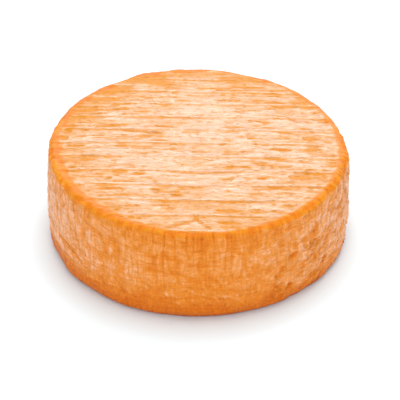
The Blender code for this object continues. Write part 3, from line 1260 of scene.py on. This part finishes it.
@dataclass(frozen=True)
class RindFinish:
    """Moist washed rind: peach on the top, orange on the side, amber at the edge.

    Scales are cells in a metre along X, Y and Z. The film is the moist coat over the rind.
    """

    name: str = "washed_rind"
    top: Ramp = (
        (0.00, (0.70, 0.398, 0.224)), (0.45, (0.69, 0.314, 0.094)), (1.00, (0.69, 0.252, 0.012)))
    # Side: the darkest stops, past 0.84, are reached mostly by the painted contact shade at the foot
    side: Ramp = (
        (0.00, (0.89, 0.405, 0.190)), (0.20, (0.87, 0.310, 0.065)), (0.45, (0.83, 0.243, 0.011)),
        (0.80, (0.75, 0.173, 0.002)), (0.90, (0.68, 0.145, 0.001)), (1.00, (0.52, 0.070, 0.002)))
    rim: Ramp = (
        (0.00, (0.82, 0.280, 0.008)), (0.45, (0.79, 0.222, 0.002)), (1.00, (0.75, 0.190, 0.002)))
    hair_colour: Colour = (0.40, 0.13, 0.03)
    streak_contrast: float = 1.8
    streak_scale_top: Triple = (180.0, 850.0, 180.0)
    streak_share_top: float = 0.14
    rib_scale_side: Triple = (1050.0, 520.0, 260.0)
    thread_scale_side: Triple = (330.0, 330.0, 1400.0)
    thread_share: float = 0.50
    streak_share_side: float = 0.70
    shade_end: float = 1.2
    hair_share: float = 0.11
    hair_depth: float = 1.2
    dash_scale: Triple = (430.0, 1000.0, 430.0)
    dash_start: float = 0.57
    dash_slope: float = 4.0
    dash_share: float = 0.38
    dash_depth: float = 0.3
    # Lighter where the streak bump rises, darker where it sinks: partly painted shade
    grain_and_shade_middle: float = 0.55
    grain_and_shade_share: float = 0.42
    grit_scale: Triple = (1700.0, 1000.0, 1700.0)
    grit_share: float = 0.42
    film_start: float = 1.15
    film_fall: float = 1.5
    rim_film: float = 0.05
    side_film: float = 0.48
    top_film: float = 0.82
    film_roughness: float = 0.18
    film_index: float = 1.45
    body_roughness: float = 0.50
    body_index: float = 1.30
    bump_distance: float = 0.00036

    def ramped(self, bench: NodeBench, share: bpy.types.NodeSocket,
               ramp: Ramp) -> bpy.types.NodeSocket:
        """Colour ramp over a share.

        Args:
            bench: where the node goes.
            share: what is ramped.
            ramp: places of the stops and their colours, from no pigment to full.

        Returns:
            The ramp's colour.
        """
        node = bench.add("ShaderNodeValToRGB", {"Fac": share})
        stops = node.color_ramp.elements
        stops.remove(stops[1])
        for place, colour in ramp:
            stop = stops.new(place) if place else stops[0]
            stop.color = (*colour, 1)
        return node.outputs["Color"]

    def colour(self, bench: NodeBench, share: bpy.types.NodeSocket, crown: bpy.types.NodeSocket,
               rim: bpy.types.NodeSocket, hair: bpy.types.NodeSocket) -> bpy.types.NodeSocket:
        """Colour of the rind before its grain.

        Args:
            bench: where the nodes go.
            share: pigment with the streaks and dashes in it.
            crown: mask of the top.
            rim: mask of the amber edge.
            hair: strength of the hairlines.

        Returns:
            The ramps of side, top and edge laid over each other, then the hairlines.
        """
        top, side, edge = (self.ramped(bench, share, r) for r in (self.top, self.side, self.rim))
        colour = bench.mix(rim, bench.mix(crown, side, top), edge)
        return bench.mix(hair, colour, (*self.hair_colour, 1))

    def film(self, bench: NodeBench, share: bpy.types.NodeSocket, crown: bpy.types.NodeSocket,
             rim: bpy.types.NodeSocket) -> bpy.types.NodeSocket:
        """Weight of the moist film: most on the top, least at the edge and in the hollows.

        Args:
            bench: where the nodes go.
            share: pigment with the streaks and dashes in it.
            crown: mask of the top.
            rim: mask of the amber edge.

        Returns:
            1.15 - 1.5 share, held between 0 and 1, times the film of top, side and edge.
        """
        film = bench.math("SUBTRACT", self.film_start,
                          bench.math("MULTIPLY", share, self.film_fall), True)
        film = bench.math("MULTIPLY", film, bench.blend(crown, self.side_film, self.top_film))
        return bench.math("MULTIPLY", film, bench.blend(rim, 1.0, self.rim_film))

    def material(self) -> bpy.types.Material:
        """The rind's material.

        Streaks and dashes shift the pigment, hairlines lie over the colour, and all three
        shape the bump. Streaks and fine grit also lighten and darken the colour by the
        grain_and_shade mask: partly random fine tone, partly painted shade that follows the bump.

        Returns:
            The material.
        """
        material = bpy.data.materials.new(self.name)
        material.use_nodes = True
        material.node_tree.nodes.clear()
        bench = NodeBench(material.node_tree)
        place = bench.add("ShaderNodeTexCoord").outputs["Object"]
        crown, pigment, rim, grain_and_shade = (
            bench.mask(m) for m in (Mask.CROWN, Mask.PIGMENT_AND_PAINTED_LIGHT, Mask.RIM, Mask.GRAIN_AND_SHADE))
        group = streak_group()
        on_top, ribs, threads, dashes, grit = (
            bench.add("ShaderNodeGroup", {"Coordinates": place, "Scale": scale,
                                          "Contrast": self.streak_contrast}, node_tree=group).outputs
            for scale in (self.streak_scale_top, self.rib_scale_side, self.thread_scale_side,
                          self.dash_scale, self.grit_scale))
        weave = bench.blend(self.thread_share, ribs["Height"], threads["Height"])
        streak = bench.blend(crown, weave, on_top["Height"])
        hair = bench.math("MULTIPLY", on_top["Hairlines"], self.hair_share)
        hair = bench.math("MULTIPLY", hair, crown)
        dash = bench.past(dashes["Height"], self.dash_start, self.dash_slope, True)
        dash = bench.math("MULTIPLY", dash, crown)
        shade = bench.math("SUBTRACT", NOISE_MIDDLE, streak)
        shade = bench.math("MULTIPLY", shade, bench.blend(
            crown, self.streak_share_side, self.streak_share_top))
        shade = bench.math("MULTIPLY", shade, bench.math("SUBTRACT", self.shade_end, pigment))
        shade = bench.math("ADD", shade, bench.math("MULTIPLY", dash, self.dash_share))
        share = bench.math("ADD", pigment, shade)
        # Partly painted shade: lighter where the streak bump rises, darker where it sinks, with
        # random grit
        lit = bench.math("ADD", bench.past(streak, self.grain_and_shade_middle, self.grain_and_shade_share),
                         bench.past(grit["Height"], NOISE_MIDDLE, self.grit_share))
        lit = bench.math("ADD", bench.math("MULTIPLY", lit, grain_and_shade), 1.0)
        colour = bench.add("ShaderNodeHueSaturation", {
            "Color": self.colour(bench, share, crown, rim, hair), "Value": lit}).outputs["Color"]
        raised = bench.math("SUBTRACT", streak, bench.math("MULTIPLY", hair, self.hair_depth))
        raised = bench.math("SUBTRACT", raised, bench.math("MULTIPLY", dash, self.dash_depth))
        normal = bench.add("ShaderNodeBump", {"Height": raised, "Strength": 1.0,
                                              "Distance": self.bump_distance}).outputs["Normal"]
        shader = bench.add("ShaderNodeBsdfPrincipled", {
            "Base Color": colour, "Roughness": self.body_roughness, "IOR": self.body_index,
            "Normal": normal, "Coat Weight": self.film(bench, share, crown, rim),
            "Coat Roughness": self.film_roughness, "Coat IOR": self.film_index,
            "Coat Normal": normal})
        bench.add("ShaderNodeOutputMaterial", {"Surface": shader.outputs["BSDF"]})
        return material


@dataclass(frozen=True)
class Lamp:
    """A rectangular lamp: where it hangs, its width and height, and its power in watts."""

    name: str
    place: Triple
    size: tuple[float, float]
    power: float
    only_gloss: bool = False


@dataclass(frozen=True)
class Studio:
    """Pale floor, soft light and the camera."""

    floor_half: float = 3.0
    floor_colour: Colour = (0.84, 0.95, 0.99)
    floor_roughness: float = 0.9
    floor_gloss: float = 0.1
    world_strength: float = 0.66
    lamps: tuple[Lamp, ...] = (
        Lamp("overhead", (0.05, 0.34, 1.2), (0.9, 0.9), 10.0),
        Lamp("back_panel", (0.1, 1.25, 0.85), (1.4, 0.30), 16.0, only_gloss=True),
        Lamp("front_panel", (0.0, -1.2, 1.0), (1.2, 0.5), 6.0))
    camera_distance: float = 0.6765
    camera_elevation: float = math.radians(33.9)
    target_height: float = 0.0207
    aim_right: float = 0.00057
    aim_down: float = 0.0057
    lens: float = 146.4
    sensor_width: float = 36.0
    clip_range: tuple[float, float] = (0.01, 20.0)

    def floor(self) -> bpy.types.Object:
        """Plain floor under the wheel.

        Returns:
            The floor.
        """
        corners = self.floor_half * np.array([(-1, -1, 0), (1, -1, 0), (1, 1, 0), (-1, 1, 0)])
        mesh = bpy.data.meshes.new("floor")
        mesh.from_pydata(corners.tolist(), [], [(0, 1, 2, 3)])
        material = bpy.data.materials.new("floor_paper")
        material.use_nodes = True
        shader = material.node_tree.nodes["Principled BSDF"]
        shader.inputs["Base Color"].default_value = (*self.floor_colour, 1)
        shader.inputs["Roughness"].default_value = self.floor_roughness
        shader.inputs["Specular IOR Level"].default_value = self.floor_gloss
        mesh.materials.append(material)
        thing = placed("floor", mesh)
        return thing

    def light(self) -> None:
        """White surroundings, a lamp overhead, a panel behind and a weaker one in front."""
        world = bpy.data.worlds.new("studio")
        world.use_nodes = True
        background = world.node_tree.nodes["Background"]
        background.inputs["Color"].default_value = (1, 1, 1, 1)
        background.inputs["Strength"].default_value = self.world_strength
        bpy.context.scene.world = world
        for lamp in self.lamps:
            self.hang(lamp)

    def hang(self, lamp: Lamp) -> bpy.types.Object:
        """Hang a lamp so that it faces the wheel.

        Args:
            lamp: which lamp.

        Returns:
            The lamp's object, which lights gloss alone where the lamp says so.
        """
        light = bpy.data.lights.new(lamp.name, "AREA")
        light.shape = "RECTANGLE"
        light.size, light.size_y = lamp.size
        light.energy = lamp.power
        holder = placed(lamp.name, light)
        holder.location = lamp.place
        holder.rotation_euler = (-Vector(lamp.place)).to_track_quat("-Z", "Y").to_euler()
        holder.visible_diffuse = not lamp.only_gloss
        return holder

    def camera(self) -> bpy.types.Object:
        """Camera at the photographed angle, aimed so that the wheel falls where it should.

        Returns:
            The camera, which is the scene's own.
        """
        forward = Vector((0, math.cos(self.camera_elevation), -math.sin(self.camera_elevation)))
        right = Vector((1, 0, 0))
        up = right.cross(forward)
        target = Vector((0, 0, self.target_height))
        place = target - forward * self.camera_distance
        aim = target + right * self.aim_right - up * self.aim_down
        data = bpy.data.cameras.new("camera")
        data.lens = self.lens
        data.sensor_width = self.sensor_width
        data.sensor_fit = "HORIZONTAL"
        data.clip_start, data.clip_end = self.clip_range
        thing = placed("camera", data)
        thing.location = place
        thing.rotation_euler = (aim - place).to_track_quat("-Z", "Y").to_euler()
        bpy.context.scene.camera = thing
        return thing

    def build(self) -> None:
        """Set up everything round the wheel."""
        self.floor()
        self.light()
        self.camera()
        bpy.context.scene.view_settings.view_transform = "Standard"


def main() -> None:
    """Build the wheel and the studio."""
    logging.basicConfig(level=logging.INFO, format="%(name)s: %(message)s")
    wheel = CheeseWheel().build()
    wheel.data.materials.append(RindFinish().material())
    LOG.info("%s has %d vertices and %d faces", wheel.name, len(wheel.data.vertices),
             len(wheel.data.polygons))
    Studio().build()
    LOG.info("studio is set")


if __name__ == "__main__":
    main()
